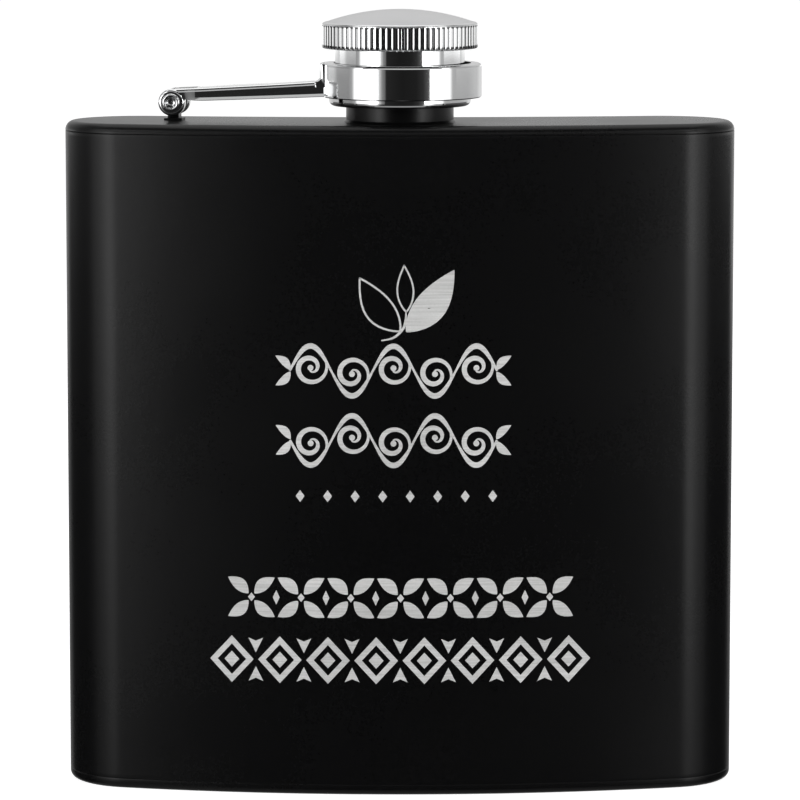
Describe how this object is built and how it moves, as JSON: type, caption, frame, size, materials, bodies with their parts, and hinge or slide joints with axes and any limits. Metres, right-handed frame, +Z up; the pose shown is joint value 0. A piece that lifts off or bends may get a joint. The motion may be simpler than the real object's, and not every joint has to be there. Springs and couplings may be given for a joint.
{
  "type": "hip flask",
  "caption": "Curved pocket hip flask with a short threaded neck and a knurled screw cap held captive on a hinged arm.",
  "frame": {"origin": "middle of the footprint on the resting plane, at the underside of the bottom plate", "axes": "+Z up along the neck, +X along the width away from the hinge, -Y towards the front, which bulges; the hollow back faces +Y"},
  "size_m": [0.095, 0.0253, 0.1104],
  "materials": {
    "black_coat": "fine satin black powder coat",
    "bare_steel": "turned stainless steel",
    "chrome": "polished, with faint handling marks",
    "white_plastic": "moulded natural polypropylene",
    "silicone": "translucent silicone rubber"
  },
  "bodies": {
    "flask": {"body_wrap": "black_coat", "top_plate": "black_coat", "bottom_plate": "black_coat", "neck_tube": "bare_steel", "neck_thread": "bare_steel", "neck_collar": "black_coat", "hinge_lug": "black_coat", "hinge_pin": "chrome"},
    "arm": {"arm": "chrome", "cap_ring": "chrome"},
    "cap": {"cap_shell": "chrome", "cap_skirt": "chrome", "cap_insert": "white_plastic", "insert_thread": "white_plastic", "cap_seal": "silicone"}
  },
  "joints": [
    {"name": "arm_swing", "type": "hinge", "parent": "flask", "child": "arm", "pos_m": [-0.032, 0.00245, 0.0972], "axis": [-0.124, -0.9923, 0], "range_deg": [0, 176]},
    {"name": "cap_turn", "type": "hinge", "parent": "arm", "child": "cap", "pos_m": [0, -0.00155, 0.1026], "axis": [0, 0, 1], "continuous": true}
  ]
}
